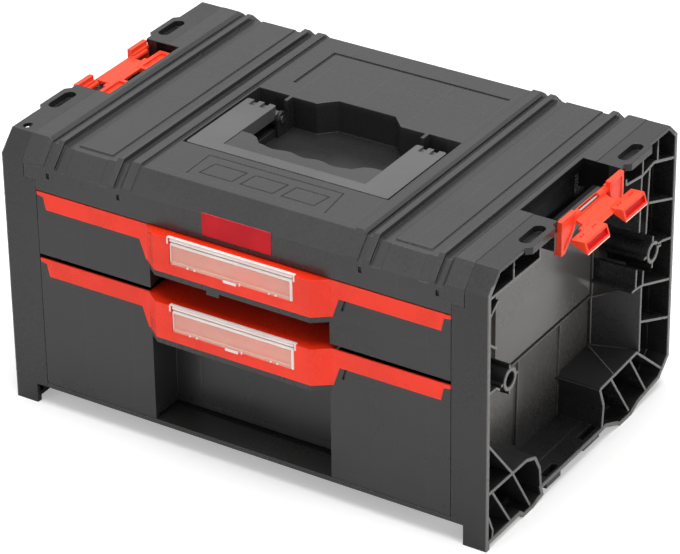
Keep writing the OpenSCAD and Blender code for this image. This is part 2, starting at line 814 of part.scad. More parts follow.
// Fixed bracket: two ears on the outside of the frame, with knuckles for the hinge pin
module latch_bracket() {
    face_out = half_w + 3.6;
    top = body_h - 1.5;
    color(orange) difference() {
        union() for (s = [-1, 1]) {
            along_x(ledge_out, face_out) translate([pocket_y, 0]) ear_2d(s, top, 0);
            translate([axis_x, pocket_y + (s > 0 ? knuckle_in : -knuckle_out), axis_z])
                rotate([-90, 0, 0]) cylinder(r = barrel_r, h = knuckle_out - knuckle_in);
        }
        // sunken field on the outside, and room for the stowed latch on the inside
        for (s = [-1, 1]) {
            along_x(face_out - 0.9, face_out + 1) translate([pocket_y, 0]) ear_2d(s, top, 3);
            box([half_w - 10, min(s * 20, s * 60) + pocket_y, axis_z + barrel_r + 1.2],
                [half_w - 0.5, max(s * 20, s * 60) + pocket_y, body_h]);
        }
        translate([axis_x, pocket_y - pocket_l, axis_z])
            rotate([-90, 0, 0]) cylinder(r = latch_pin_r + 0.05, h = 2 * pocket_l);
    }
}

module ear_2d(s, top, inset) {
    low = body_h - 31;
    offset(delta = -inset) polygon([
        [s * ear_front, top], [s * bracket_out, top], [s * bracket_out, low],
        [s * (bracket_out - 6), low], [s * (ear_front + 3), low + 13], [s * ear_front, top - 9]
    ]);
}

// Moving latch, drawn stowed: the plate runs inwards from the hinge axis at x = 0, z = 0
module latch_hook_shape() {
    plate_to = 18.6;
    block_from = 13.2;
    block_low = -6.5;
    difference() {
        union() {
            translate([0, -latch_half, 0]) rotate([-90, 0, 0]) cylinder(r = barrel_r, h = 2 * latch_half);
            box([-plate_to, -latch_half, 0], [0, latch_half, barrel_r]);
            for (s = [-1, 1]) {
                box([-latch_reach, min(s * notch_half, s * hook_half), block_low],
                    [-block_from, max(s * notch_half, s * hook_half), barrel_r]);
                box([-plate_to, min(s * (latch_half - 4), s * (latch_half + 6)), 0],
                    [-block_from + 3, max(s * (latch_half - 4), s * (latch_half + 6)), barrel_r]);
            }
        }
        translate([0, -latch_half - 1, 0]) rotate([-90, 0, 0]) cylinder(r = latch_pin_r + 0.05, h = 2 * latch_half + 2);
        // window that shows the hinge pin
        box([-2, -15, -barrel_r - 1], [2, 15, 0.4]);
        for (s = [-1, 1]) {
            // recess in the end face of each hook, and the hollow behind it
            box([-latch_reach - 1, s * 30.25 - 11, -3.6], [-latch_reach + 4, s * 30.25 + 11, 0.8]);
            box([-latch_reach + 6, s * 30.25 - 14, -1], [-block_from - 1.8, s * 30.25 + 14, barrel_r + 1]);
            // small pits in the hook's face
            for (q = [[-24, -5], [-24, 5], [-18, 11]])
                box([q[0] - 1.2, s * 30.25 + q[1] - 2, block_low - 1], [q[0] + 1.2, s * 30.25 + q[1] + 2, block_low + 1.2]);
            // cut corners at the notch
            translate([-latch_reach, s * notch_half, -20]) rotate([0, 0, 45]) cube([3.5, 3.5, 60], center = true);
            translate([-latch_reach, s * hook_half, -20]) rotate([0, 0, 45]) cube([3.5, 3.5, 60], center = true);
        }
    }
}

// Latch on the right-hand side, turned by an angle from its stowed place
module latch_hook_at(angle) {
    color(orange)
        translate([axis_x, pocket_y, axis_z])
            rotate([0, angle, 0]) latch_hook_shape();
}

module latch_pin() {
    reach = knuckle_in + 5;
    color(steel)
        translate([axis_x, pocket_y - reach, axis_z])
            rotate([-90, 0, 0]) cylinder(r = latch_pin_r, h = 2 * reach);
}

// ---------------------------------------------------------------- drawers

tray_half = wall_in - 4.6;
front_half = post_in - 0.6;
tray_back = half_d - wall - 7;
bulge_side = bulge_half + bulge_d * 1.3;
strip_end = front_half - 6;
shoulder_x = bulge_side + 7;

// Plan outline of the bulging handle, from a line behind it, shrunk by a distance
module bulge_plan(shrink, back) {
    polygon([
        [-bulge_side + shrink, back], [bulge_side - shrink, back], [bulge_side - shrink, -half_d],
        [bulge_half - shrink * 0.6, -half_d - bulge_d + shrink],
        [-bulge_half + shrink * 0.6, -half_d - bulge_d + shrink], [-bulge_side + shrink, -half_d]
    ]);
}

// Front view of the red fascia's side strip, on the right, below its top edge
module strip_front_2d(top) {
    polygon([
        [bulge_side - 8, top], [front_half, top], [front_half, top - 3], [strip_end, top - 4],
        [strip_end - 2.5, top - strip_h], [shoulder_x, top - strip_h],
        [bulge_side + 1, top - bulge_h], [bulge_side - 8, top - bulge_h]
    ]);
}

// Shape in the X-Z plane, given a thickness along Y from y0 to y1
module along_y(y0, y1) {
    translate([0, y1, 0])
        rotate([90, 0, 0])
            linear_extrude(y1 - y0)
                children();
}

// Red fascia: shelf on top, hanging front at the handle, flat strips at the sides
module fascia(top) {
    color(red) difference() {
        union() {
            translate([0, 0, top - bulge_h]) linear_extrude(bulge_h) bulge_plan(0, -half_d + fascia_t);
            both_sides() along_y(-half_d, -half_d + fascia_t) strip_front_2d(top);
            translate([0, 0, top - fascia_t])
                linear_extrude(fascia_t) bulge_plan(0, -half_d + finger_d);
        }
        // hollow behind the handle's front
        difference() {
            translate([0, 0, top - bulge_h - 1]) linear_extrude(bulge_h + 1 - fascia_t)
                bulge_plan(fascia_t, -half_d + finger_d + 5);
            box([-window_half - 4, -half_d - bulge_d, top - bulge_h - 2], [window_half + 4, -half_d - bulge_d + pocket_t, top]);
        }
        // pocket for the label window, open at the top
        box([-window_half - 0.4, -half_d - bulge_d - 1, top - window_h - 1],
            [window_half + 0.4, -half_d - bulge_d + pocket_t - fascia_t, top + 1]);
        both_sides() window_peg_hole(top);
    }
}

pocket_t = 2 * window_bar_r + seat_gap + fascia_t;
window_y = -half_d - bulge_d + window_bar_r;
peg_r = window_bar_r - 0.45;

function window_z(top) = top - window_bar_r - 0.4;

module window_peg_hole(top) {
    translate([window_half - 1, window_y, window_z(top)])
        rotate([0, 90, 0]) cylinder(r = peg_r + 0.05, h = 4);
}

// Clear label window that hinges on its upper bar
module label_window(top) {
    z = window_z(top);
    color(clear) {
        translate([-window_half, window_y, z]) rotate([0, 90, 0]) cylinder(r = window_bar_r, h = 2 * window_half);
        translate([-window_half - 2.2, window_y, z]) rotate([0, 90, 0]) cylinder(r = peg_r, h = 2 * window_half + 4.4);
        box([-window_half, window_y - pane_t / 2, z - window_h + window_bar_r],
            [window_half, window_y + pane_t / 2, z]);
        box([-5, window_y - pane_t / 2 - 0.8, z - window_h + window_bar_r],
            [9, window_y, z - window_h + window_bar_r + 2]);
    }
}

// Band of the given height and thickness that follows the handle's outline
module lip_band(z, height, shrink, thickness) {
    translate([0, 0, z]) linear_extrude(height) difference() {
        bulge_plan(shrink, -half_d + front_t);
        bulge_plan(shrink + thickness, -half_d + front_t + 1);
    }
}

// Tray with a dark front block on each side of the finger recess
module tray(bottom, top, slide_z) {
    back = -half_d + finger_d;
    box_top = top - 7;
    color(black) difference() {
        union() {
            difference() {
                union() {
                    box([-tray_half, -half_d + front_t - eps, bottom + 2], [tray_half, tray_back, box_top]);
                    // front plate
                    box([-front_half, -half_d, bottom], [front_half, -half_d + front_t, top - fascia_t - seat_gap]);
                }
                // inside of the tray
                box([-tray_half + tray_wall, back + tray_wall, bottom + 2 + tray_wall], [tray_half - tray_wall, tray_back - tray_wall, far]);
                both_sides() box([finger_half + tray_wall, -half_d + front_t, bottom + 2 + tray_wall],
                                 [tray_half - tray_wall, back + tray_wall + 1, far]);
                // finger recess
                box([-finger_half, -half_d - 1, bottom - 1], [finger_half, back, top + 1]);
            }
            // lip below the red fascia, and the collar that stands inside it
            lip_band(top - bulge_h - under_rim, under_rim - seat_gap, 0.6, tray_wall);
            lip_band(top - bulge_h - 2.5, 2.5 - seat_gap, 0.6, pocket_t + tray_wall);
            lip_band(top - bulge_h - 2.5, bulge_h + 2.5 - fascia_t - seat_gap, pocket_t + seat_gap, tray_wall);
            // the fascia's shelf rests on this ledge
            box([-finger_half - eps, -half_d + wall, top - fascia_t - seat_gap - tray_wall],
                [finger_half + eps, back + tray_wall, top - fascia_t - seat_gap]);
            // slides on the outside of the tray
            both_sides() box([tray_half - eps, -half_d + 14, slide_z + seat_gap], [wall_in - run_gap, tray_back, slide_z + 3.5]);
        }
        // sunken band for the red side strips, and the slanted slot beside the handle
        both_sides() along_y(-half_d - 1, -half_d + fascia_t + seat_gap) offset(delta = 0.1) strip_front_2d(top);
        translate([bulge_side + 8.5, -half_d - 1, top - bulge_h + 8])
            rotate([0, 20, 0]) cube([2.2, 3, 14]);
    }
}

// ---------------------------------------------------------------- fasteners

cover_screw_l = 5.6;
base_screw_l = 7.4;
back_screw_l = 7.6;

// Screw that points along +Z, with the underside of its head at z = 0
module screw(length) {
    translate([0, 0, -screw_head_h]) cylinder(r = screw_head_r, h = screw_head_h);
    cylinder(r = screw_r, h = length);
}

// Hole for the shank of such a screw
module screw_bore(length) {
    translate([0, 0, -1]) cylinder(r = screw_r + 0.1, h = length + 1);
}

module base_screw_places() {
    for (x = [-wall_in + 8, wall_in - 8], y = [-105, -30, 45, 120]) translate([x, y * ky, base_z - 4]) children();
}

module cover_screw_places() {
    for (x = [-wall_in + 8, wall_in - 8], y = [-100, -20, 60, 115]) translate([x, y * ky, body_h - deck_drop - 3]) children();
}

module back_screw_places() {
    for (x = [-wall_in + 8, wall_in - 8], z = [60, 130, 195]) translate([x, half_d, z * kz]) rotate([90, 0, 0]) children();
}

module back_screws() {
    color(steel) back_screw_places() screw(back_screw_l);
}

module base_screws() {
    color(steel) base_screw_places() screw(base_screw_l);
}

module cover_screws() {
    color(steel) cover_screw_places() screw(cover_screw_l);
}

// ---------------------------------------------------------------- the parts in place

top_cover();
color(black) mirror([1, 0, 0]) side_wall();  // side_wall_left
color(black) side_wall();  // side_wall_right
side_rim_left();
side_rim_right();
side_bosses_left();
side_bosses_right();
back_panel();
base_plate();
handle_bail();
handle_grip();
handle_pins();
mirror([1, 0, 0]) latch_bracket();  // latch_bracket_left
latch_bracket();  // latch_bracket_right
mirror([1, 0, 0]) latch_hook_at(0);  // latch_hook_left
latch_hook_at(latch_swing);  // latch_hook_right
mirror([1, 0, 0]) latch_pin();  // latch_pin_left
latch_pin();  // latch_pin_right
tray(upper_z, upper_top, upper_top - 16);  // drawer_upper_tray
tray(lower_z, lower_top, lower_top - 22);  // drawer_lower_tray
fascia(upper_top);  // drawer_upper_fascia
fascia(lower_top);  // drawer_lower_fascia
label_window(upper_top);  // label_window_upper
label_window(lower_top);  // label_window_lower
back_screws();
base_screws();
cover_screws();
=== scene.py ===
"""A portable tool box with two red drawers, a folding handle and two hooked latches.

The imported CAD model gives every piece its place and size. This script gives them their finishes,
and builds the label windows, the latch flaps and the small trim in finer detail. Lengths are metres.
"""

import math

import bmesh
import bpy
from mathutils import Matrix, Vector


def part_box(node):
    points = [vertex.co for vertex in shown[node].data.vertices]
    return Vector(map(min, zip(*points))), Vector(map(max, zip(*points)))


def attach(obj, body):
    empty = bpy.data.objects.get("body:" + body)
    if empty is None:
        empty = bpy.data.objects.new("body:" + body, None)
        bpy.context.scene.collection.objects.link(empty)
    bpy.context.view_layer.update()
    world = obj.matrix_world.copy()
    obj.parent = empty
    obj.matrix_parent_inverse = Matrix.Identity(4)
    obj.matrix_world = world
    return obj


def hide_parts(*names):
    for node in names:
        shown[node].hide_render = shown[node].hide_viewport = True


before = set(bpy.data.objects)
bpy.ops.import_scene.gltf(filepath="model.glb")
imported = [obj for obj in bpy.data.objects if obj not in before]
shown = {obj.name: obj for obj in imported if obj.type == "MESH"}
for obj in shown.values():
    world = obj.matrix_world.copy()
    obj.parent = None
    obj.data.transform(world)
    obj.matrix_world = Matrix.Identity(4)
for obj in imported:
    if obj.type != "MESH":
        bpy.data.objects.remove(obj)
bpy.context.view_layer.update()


# ---------------------------------------------------------------- where the photographer stood
# The box is seen from the front right, from about three metres away and looking down on the top.
# The lens is a long one, and its shift keeps the photograph's off-centre framing.
camera_data = bpy.data.cameras.new("camera")
camera_data.sensor_width = 36.0
camera_data.lens = 190.11
camera_data.shift_x = 0.00768
camera_data.shift_y = 0.06793
camera = bpy.data.objects.new("camera", camera_data)
bpy.context.scene.collection.objects.link(camera)
across = Vector((0.84486565, 0.53482904, -0.01264609))
upward = Vector((-0.26108228, 0.43283179, 0.86283989))
towards_lens = Vector((0.46694546, -0.72568212, 0.5053191))
lens_at = Vector((1.375005, -2.148587, 1.555996))
stance = Matrix((across, upward, towards_lens)).transposed().to_4x4()
stance.translation = lens_at
camera.matrix_world = stance
bpy.context.scene.camera = camera
bpy.context.scene.view_settings.view_transform = "Standard"


# ---------------------------------------------------------------- the studio
# A seamless white paper sweep, a big soft box over the tool box, and two weaker panels.
# The paper is white to the lens and keeps the soft shadow that the box throws on it.
class Tone:
    """One socket of a finish's node tree. A sum written with it adds the Math nodes for that sum."""

    def __init__(self, tree, socket):
        self.tree = tree
        self.socket = socket

    def add(self, kind, inputs=None, output=0, **settings):
        """Adds a node, sets it, feeds its sockets values or other tones, and gives one output."""
        node = self.tree.nodes.new("ShaderNode" + kind)
        for name, setting in settings.items():
            setattr(node, name, setting)
        for name, value in (inputs or {}).items():
            if isinstance(value, Tone):
                self.tree.links.new(value.socket, node.inputs[name])
            else:
                node.inputs[name].default_value = value
        return Tone(self.tree, node.outputs[output])

    def sum(self, operation, first, second=0.0):
        return self.add("Math", {0: first, 1: second}, operation=operation)

    def __add__(self, other):
        return self.sum("ADD", self, other)

    def __radd__(self, other):
        return self.sum("ADD", other, self)

    def __sub__(self, other):
        return self.sum("SUBTRACT", self, other)

    def __rsub__(self, other):
        return self.sum("SUBTRACT", other, self)

    def __mul__(self, other):
        return self.sum("MULTIPLY", self, other)

    def __rmul__(self, other):
        return self.sum("MULTIPLY", other, self)

    def __abs__(self):
        return self.sum("ABSOLUTE", self)

    def most(self, other):
        return self.sum("MAXIMUM", self, other)

    def ramp(self, low, high, first=0.0, last=1.0):
        """Runs smoothly from first to last while this tone goes from low to high."""
        return self.add(
            "MapRange",
            {"Value": self, "From Min": low, "From Max": high, "To Min": first, "To Max": last},
            interpolation_type="SMOOTHSTEP",
        )

    def within(self, middle, half, blur):
        """1 where this tone is less than half away from middle, fading to 0 at that distance."""
        return abs(self - middle).ramp(half - blur, half + blur, 1.0, 0.0)

    def tint(self, under, over):
        """The colour under, where this tone is 0, turning to over, where it is 1."""
        return self.add("Mix", {0: self, 6: under, 7: over}, output=2, data_type="RGBA")


def opaque(red, green, blue):
    """A full colour from its three parts, each held to 1 at most."""
    return (min(1.0, red), min(1.0, green), min(1.0, blue), 1.0)


def begin_tree(owner):
    """Empties the node tree of a material or world, and gives a tone to build it from."""
    owner.use_nodes = True
    owner.node_tree.nodes.clear()
    return Tone(owner.node_tree, None)


def end_tree(start, surface, kind="Material"):
    """Leads the last shader to the output of a material, or of a world."""
    out = start.tree.nodes.new("ShaderNodeOutput" + kind)
    start.tree.links.new(surface.socket, out.inputs["Surface"])


paper = bpy.data.materials.new("studio_paper")
start = begin_tree(paper)
place = start.add("TexCoord", output="Object")
fibre = start.add("TexNoise", {"Vector": place, "Scale": 90.0, "Detail": 3.0})
white = fibre.tint(opaque(0.80, 0.80, 0.80), opaque(0.83, 0.83, 0.83))
sheet = start.add("BsdfDiffuse", {"Color": white})
paper_glow = 0.34 * start.add("LightPath", output="Is Camera Ray")
glow = start.add("Emission", {"Color": opaque(1.0, 1.0, 1.0), "Strength": paper_glow})
end_tree(start, start.add("AddShader", {0: sheet, 1: glow}))

sweep_half_width = 7.0
front_y = -6.0
bend_y = 3.2
bend_radius = 1.6
back_top = 1.9
bend_steps = 12
sweep = bmesh.new()
edge = [sweep.verts.new((-sweep_half_width, y, 0.0)) for y in (front_y, bend_y)]
for step in range(1, bend_steps + 1):
    turn = math.radians(90 * step / bend_steps)
    back = bend_y + bend_radius * math.sin(turn)
    up = bend_radius - bend_radius * math.cos(turn)
    edge.append(sweep.verts.new((-sweep_half_width, back, up)))
edge.append(sweep.verts.new((-sweep_half_width, bend_y + bend_radius, back_top)))
lines = [sweep.edges.new(pair) for pair in zip(edge, edge[1:])]
pulled = bmesh.ops.extrude_edge_only(sweep, edges=lines)["geom"]
far_edge = [item for item in pulled if isinstance(item, bmesh.types.BMVert)]
bmesh.ops.translate(sweep, verts=far_edge, vec=(2 * sweep_half_width, 0, 0))
bmesh.ops.recalc_face_normals(sweep, faces=sweep.faces)
if sweep.faces[0].normal.z < 0:
    bmesh.ops.reverse_faces(sweep, faces=sweep.faces)
sweep_mesh = bpy.data.meshes.new("studio_sweep")
sweep.to_mesh(sweep_mesh)
sweep.free()
for face in sweep_mesh.polygons:
    face.use_smooth = True
sweep_mesh.materials.append(paper)
backdrop = bpy.data.objects.new("studio_sweep", sweep_mesh)
bpy.context.scene.collection.objects.link(backdrop)

room = bpy.data.worlds.new("studio_room")
start = begin_tree(room)
room_light = 0.38
seen = start.add("LightPath", output="Is Camera Ray")
for kind in ("Glossy", "Transmission"):
    seen = seen.most(start.add("LightPath", output=f"Is {kind} Ray"))
strength = seen * (1.0 - room_light) + room_light
air = start.add("Background", {"Color": opaque(1.0, 1.0, 1.0), "Strength": strength})
end_tree(start, air, "World")
bpy.context.scene.world = room


def soft_box(name, at, aim, width, height, watts):
    """A studio panel lamp, turned to face a point on the tool box."""
    lamp = bpy.data.lights.new(name, "AREA")
    lamp.shape = "RECTANGLE"
    lamp.size, lamp.size_y = width, height
    lamp.energy = watts
    holder = bpy.data.objects.new(name, lamp)
    bpy.context.scene.collection.objects.link(holder)
    holder.location = at
    holder.rotation_mode = "QUATERNION"
    holder.rotation_quaternion = (Vector(aim) - Vector(at)).to_track_quat("-Z", "Y")


soft_box("overhead_panel", at=(0.1, 0.0, 2.2), aim=(0, 0, 0.2), width=2.0, height=1.6, watts=54.0)
soft_box("front_panel", at=(-1.0, -2.5, 1.0), aim=(0, 0, 0.15), width=1.8, height=1.4, watts=9.0)
soft_box("side_panel", at=(2.6, -0.6, 1.1), aim=(0.1, 0, 0.15), width=1.4, height=1.2, watts=16.0)


# ---------------------------------------------------------------- charcoal body mouldings
# The cover, the two side walls, their ribbed rims, the back and the base are injection moulded
# polypropylene. The tool is spark-eroded, so the skin has a fine grain and softened corners, and
# the cover shows a faint ghost of the ribs behind it.
deck_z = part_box("top_cover")[1][2]
rim_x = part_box("side_bosses_right")[1][0]
recess_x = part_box("side_rim_right")[0][0]


def soft_corners(start, radius, low, high):
    """Normals rounded over each corner, and a tone that rises from the faces to the corners."""
    rounded = start.add("Bevel", {"Radius": radius}, samples=6)
    true = start.add("NewGeometry", output="True Normal")
    facing = start.add("VectorMath", {0: rounded, 1: true}, output="Value", operation="DOT_PRODUCT")
    return rounded, (1.0 - facing).ramp(low, high)


def rib_ghosts(start, axes, pitch, width):
    """Faint sink lines where ribs stand behind the skin, a pitch apart along each axis."""
    offsets = (0.013, 0.021, 0.016)
    above_zero = 100.5
    line = None
    for axis, offset in zip(axes, offsets):
        along = axis * (1.0 / pitch) + (offset / pitch + above_zero)
        ghost = abs(start.sum("FRACT", along) - 0.5).ramp(0.0, width / pitch, 1.0, 0.0)
        line = ghost if line is None else line.most(ghost)
    return line


def painted_tip_highlight(x, z):
    """Painted highlight: the outer faces of the side ribs, which lie in the mould's parting face, are painted
    paler below the deck.
    """
    return abs(x).ramp(rim_x - 0.0011, rim_x - 0.0006) * z.ramp(deck_z - 0.0115, deck_z - 0.0095, 1.0, 0.0)


def painted_wall_sheen(x, y, z):
    """Painted sheen: the outer face of each side wall is painted paler and warmer above its foot, most
    towards the front, standing in for the light it reflects.
    """
    foot, full = 0.028, 0.085
    ledge = 0.2045
    front, rear = -0.040, 0.090
    outside = abs(x).ramp(recess_x - 0.0005, recess_x)
    between = z.ramp(foot, full) * z.ramp(ledge, ledge + 0.0015, 1.0, 0.0)
    return outside * between * y.ramp(front, rear, 1.0, 0.40)


def painted_hollow_shade(x, y, z):
    """Painted shade: the hand well and the two latch pockets are painted blacker, the pockets most."""
    well_half_x, well_y, well_half_y = 0.082, -0.012, 0.060
    pocket_in, pocket_out, pocket_undercut = 0.1880, 0.2150, 0.005
    pocket_y, pocket_half_y = 0.0032, 0.0515
    pocket_z, pocket_half_z = 0.2243, 0.0190
    well = x.within(0.0, well_half_x, 0.002) * y.within(well_y, well_half_y, 0.002)
    well = well * z.ramp(deck_z - 0.0080, deck_z - 0.0015, 1.0, 0.0)
    undercut = z.ramp(deck_z - 0.0095, deck_z - 0.0085, pocket_undercut, 0.0)
    pocket = (abs(x) + undercut).ramp(pocket_in, pocket_in + 0.0006) * x.within(0.0, pocket_out, 0.0005)
    pocket = pocket * y.within(pocket_y, pocket_half_y, 0.0005) * z.within(pocket_z, pocket_half_z, 0.0003)
    return (0.35 * well).most(0.85 * pocket)


def grained_plastic(
    name, colour, rough, corner, ribs=None, grain=0.22, tip_highlight=False, hollow_shade=False, satin=False
):
    """Moulded polypropylene: its colour, its dullness and the radius of its corners in metres.

    ribs is the pitch and the width of the ribs behind the skin, and grain the strength of the texture.
    """
    finish = bpy.data.materials.new(name)
    start = begin_tree(finish)
    place = start.add("TexCoord", output="Object")
    x, y, z = (start.add("SeparateXYZ", {"Vector": place}, output=axis) for axis in "XYZ")
    rounded, edge = soft_corners(start, corner, 0.02, 0.30)

    pores = start.add("TexNoise", {"Vector": place, "Scale": 1500.0, "Detail": 2.0, "Roughness": 0.6})
    orange_peel = start.add("TexNoise", {"Vector": place, "Scale": 260.0, "Detail": 2.0})
    clouds = start.add("TexNoise", {"Vector": place, "Scale": 11.0, "Detail": 4.0, "Roughness": 0.55})
    streaks = start.add(
        "Mapping", {"Vector": place, "Rotation": (0.3, 0.2, 0.5), "Scale": (26.0, 420.0, 420.0)}
    )
    scuffs = start.add("TexNoise", {"Vector": streaks, "Scale": 1.0, "Detail": 3.0}).ramp(0.66, 0.76)

    height = pores * (0.10 * grain) + orange_peel * (0.05 * grain)
    shade = clouds.ramp(0.25, 0.75, -0.10, 0.10)
    dull = rough + clouds.ramp(0.3, 0.7, -0.04, 0.04) + orange_peel.ramp(0.3, 0.7, -0.03, 0.03)
    dull = dull - 0.06 * edge
    if ribs:
        line = rib_ghosts(start, (x, y, z), *ribs)
        shade = shade + 0.06 * line
        dull = dull - 0.03 * line
        height = height - 0.10 * line

    light = opaque(*(part * 1.25 for part in colour))
    dark = opaque(*(part * 0.78 for part in colour))
    wear_and_sheen = opaque(*(part * 2.2 + 0.030 for part in colour))
    base = (shade + 0.5).ramp(0.3, 0.7).tint(dark, light)
    # Paler towards the corners and along random scuffs: the scuffs are wear, the corners partly whitening and
    # partly painted highlight.
    base = (0.55 * edge + 0.10 * scuffs).tint(base, wear_and_sheen)
    # Painted highlight on the outer faces of the side ribs, a little patchy.
    if tip_highlight:
        tip_glint = painted_tip_highlight(x, z) * clouds.ramp(0.2, 0.8, 0.75, 1.0)
        base = tip_glint.tint(base, opaque(0.155, 0.152, 0.146))
    # Painted sheen on the outer faces of the side walls.
    if satin:
        base = painted_wall_sheen(x, y, z).tint(base, opaque(0.105, 0.099, 0.092))
    relief = start.add("Bump", {"Strength": 0.5, "Distance": 0.0012, "Height": height, "Normal": rounded})
    skin = start.add("BsdfPrincipled", {"Base Color": base, "Roughness": dull, "IOR": 1.5, "Normal": relief})
    # Painted shade: a dark diffuse skin is mixed over the plastic in the hand well and the latch pockets.
    if hollow_shade:
        black = start.add("BsdfDiffuse", {"Color": opaque(0.004, 0.004, 0.005), "Normal": relief})
        skin = start.add("MixShader", {0: painted_hollow_shade(x, y, z), 1: skin, 2: black})
    end_tree(start, skin)
    return finish


def dress(finish, *nodes):
    """Gives CAD nodes one finish in place of their own slots."""
    for node in nodes:
        mesh = shown[node].data
        mesh.materials.clear()
        mesh.materials.append(finish)


charcoal_cover = grained_plastic(
    "charcoal_cover", (0.0270, 0.0263, 0.0273), rough=0.30, corner=0.0010,
    ribs=(0.0525, 0.0016), hollow_shade=True,
)
dress(charcoal_cover, "top_cover")

charcoal_rim = grained_plastic(
    "charcoal_rim", (0.0160, 0.0156, 0.0162), rough=0.30, corner=0.0008,
    tip_highlight=True, hollow_shade=True,
)
dress(charcoal_rim, "side_rim_left", "side_rim_right", "side_bosses_left", "side_bosses_right")

charcoal_wall = grained_plastic(
    "charcoal_wall", (0.0240, 0.0232, 0.0226), rough=0.24, corner=0.0008,
    grain=0.10, hollow_shade=True, satin=True,
)
dress(charcoal_wall, "side_wall_left", "side_wall_right", "back_panel", "base_plate")


# ---------------------------------------------------------------- lips in the side recesses
# Below the rear boss a slanted web runs from each side wall out to the rim, behind a low block.
# Their edges end in thin rounded lips, moulded with the wall, painted pale grey as painted highlight.
def add_lip(shape, start, end, radius):
    """Adds a thin rounded lip between two points."""
    start, end = Vector(start), Vector(end)
    turned = (end - start).to_track_quat("Z", "Y").to_matrix().to_4x4()
    turned.translation = (start + end) / 2
    bmesh.ops.create_cone(
        shape, cap_ends=True, segments=12, radius1=radius, radius2=radius,
        depth=(end - start).length, matrix=turned,
    )


def finished(name, shape, finish, body):
    """Turns a built mesh into a piece with its finish, riding on its body."""
    bmesh.ops.recalc_face_normals(shape, faces=shape.faces)
    mesh = bpy.data.meshes.new(name)
    shape.to_mesh(mesh)
    shape.free()
    mesh.materials.append(finish)
    piece = bpy.data.objects.new(name, mesh)
    bpy.context.scene.collection.objects.link(piece)
    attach(piece, body)
    return piece


# Painted highlight: the lips are painted a pale grey.
painted_lip_highlight = grained_plastic("painted_lip_highlight", (0.120, 0.118, 0.113), rough=0.34, corner=0.0003)
lip_radius = 0.0006
lip_ends = {
    "web's top": ((0.1866, 0.0833, 0.1014), (0.2236, 0.0968, 0.1163)),
    "web's root": ((0.1866, 0.0826, 0.0585), (0.1866, 0.0826, 0.1020)),
    "web's foot": ((0.1868, 0.0836, 0.0572), (0.2234, 0.0962, 0.0552)),
    "block's edge": ((0.1868, 0.0800, 0.0570), (0.2234, 0.0545, 0.0552)),
}
for side, mirrored in (("right", 1), ("left", -1)):
    lips = bmesh.new()
    for ends in lip_ends.values():
        add_lip(lips, *((x * mirrored, y, z) for x, y, z in ends), lip_radius)
    finished(f"recess_lips_{side}", lips, painted_lip_highlight, "housing")


# ---------------------------------------------------------------- drawers
# Each drawer is a charcoal tub with a glossy red fascia snapped over its front edge.
# A small black stop stands under the lip of the upper one.
charcoal_tub = grained_plastic(
    "charcoal_tub", (0.0205, 0.0199, 0.0202), rough=0.32, corner=0.0008, ribs=(0.046, 0.0018)
)
dress(charcoal_tub, "drawer_upper_tray", "drawer_lower_tray")


def glossy_plastic(name, colour, rough, corner):
    """High-gloss ABS: its colour, its dullness and the radius of its corners in metres."""
    finish = bpy.data.materials.new(name)
    start = begin_tree(finish)
    place = start.add("TexCoord", output="Object")
    rounded, edge = soft_corners(start, corner, 0.02, 0.35)
    flow = start.add("TexNoise", {"Vector": place, "Scale": 16.0, "Detail": 3.0})
    ripple = start.add("TexNoise", {"Vector": place, "Scale": 75.0, "Detail": 1.0})
    specks = start.add("TexNoise", {"Vector": place, "Scale": 900.0, "Detail": 2.0})
    red, green, blue = colour
    deep = opaque(red * 0.90, green * 0.90, blue * 0.90)
    full = opaque(red * 1.06, green * 1.06, blue * 1.06)
    pale_edge_highlight = (min(1.0, red * 1.05), green * 1.9 + 0.05, blue * 1.9 + 0.05, 1.0)
    # Painted highlight: paler towards the corners.
    base = (0.45 * edge).tint(flow.ramp(0.3, 0.7).tint(deep, full), pale_edge_highlight)
    dull = rough + flow.ramp(0.3, 0.7, -0.03, 0.04) + specks.ramp(0.35, 0.65, -0.02, 0.02)
    height = 0.12 * ripple + 0.015 * specks
    relief = start.add("Bump", {"Strength": 0.3, "Distance": 0.0008, "Height": height, "Normal": rounded})
    skin = start.add("BsdfPrincipled", {"Base Color": base, "Roughness": dull, "IOR": 1.40, "Normal": relief})
    end_tree(start, skin)
    return finish


fascia_red = glossy_plastic("fascia_red", (0.94, 0.031, 0.006), rough=0.27, corner=0.0012)
dress(fascia_red, "drawer_upper_fascia", "drawer_lower_fascia")


def soften(shape, edges, radius, segments=2):
    """Rounds some edges of a mesh that is being built."""
    bmesh.ops.bevel(
        shape, geom=edges, offset=radius, offset_type="OFFSET", segments=segments,
        profile=0.5, affect="EDGES", material=-1,
    )


def add_bar(shape, low, high, soft):
    """Adds a bar between two corners to a mesh that is being built, with its edges softened."""
    corners = bmesh.ops.create_cube(shape, size=1.0)["verts"]
    bmesh.ops.scale(shape, verts=corners, vec=[b - a for a, b in zip(low, high)])
    bmesh.ops.translate(shape, verts=corners, vec=[(a + b) / 2 for a, b in zip(low, high)])
    soften(shape, list({edge for corner in corners for edge in corner.link_edges}), soft)


stop_low, stop_high, stop_soft = (-0.0245, -0.1585, 0.1600), (-0.0125, -0.1535, 0.1646), 0.0004
stop = bmesh.new()
add_bar(stop, stop_low, stop_high, stop_soft)
finished("lip_stop", stop, charcoal_tub, "drawer_upper")
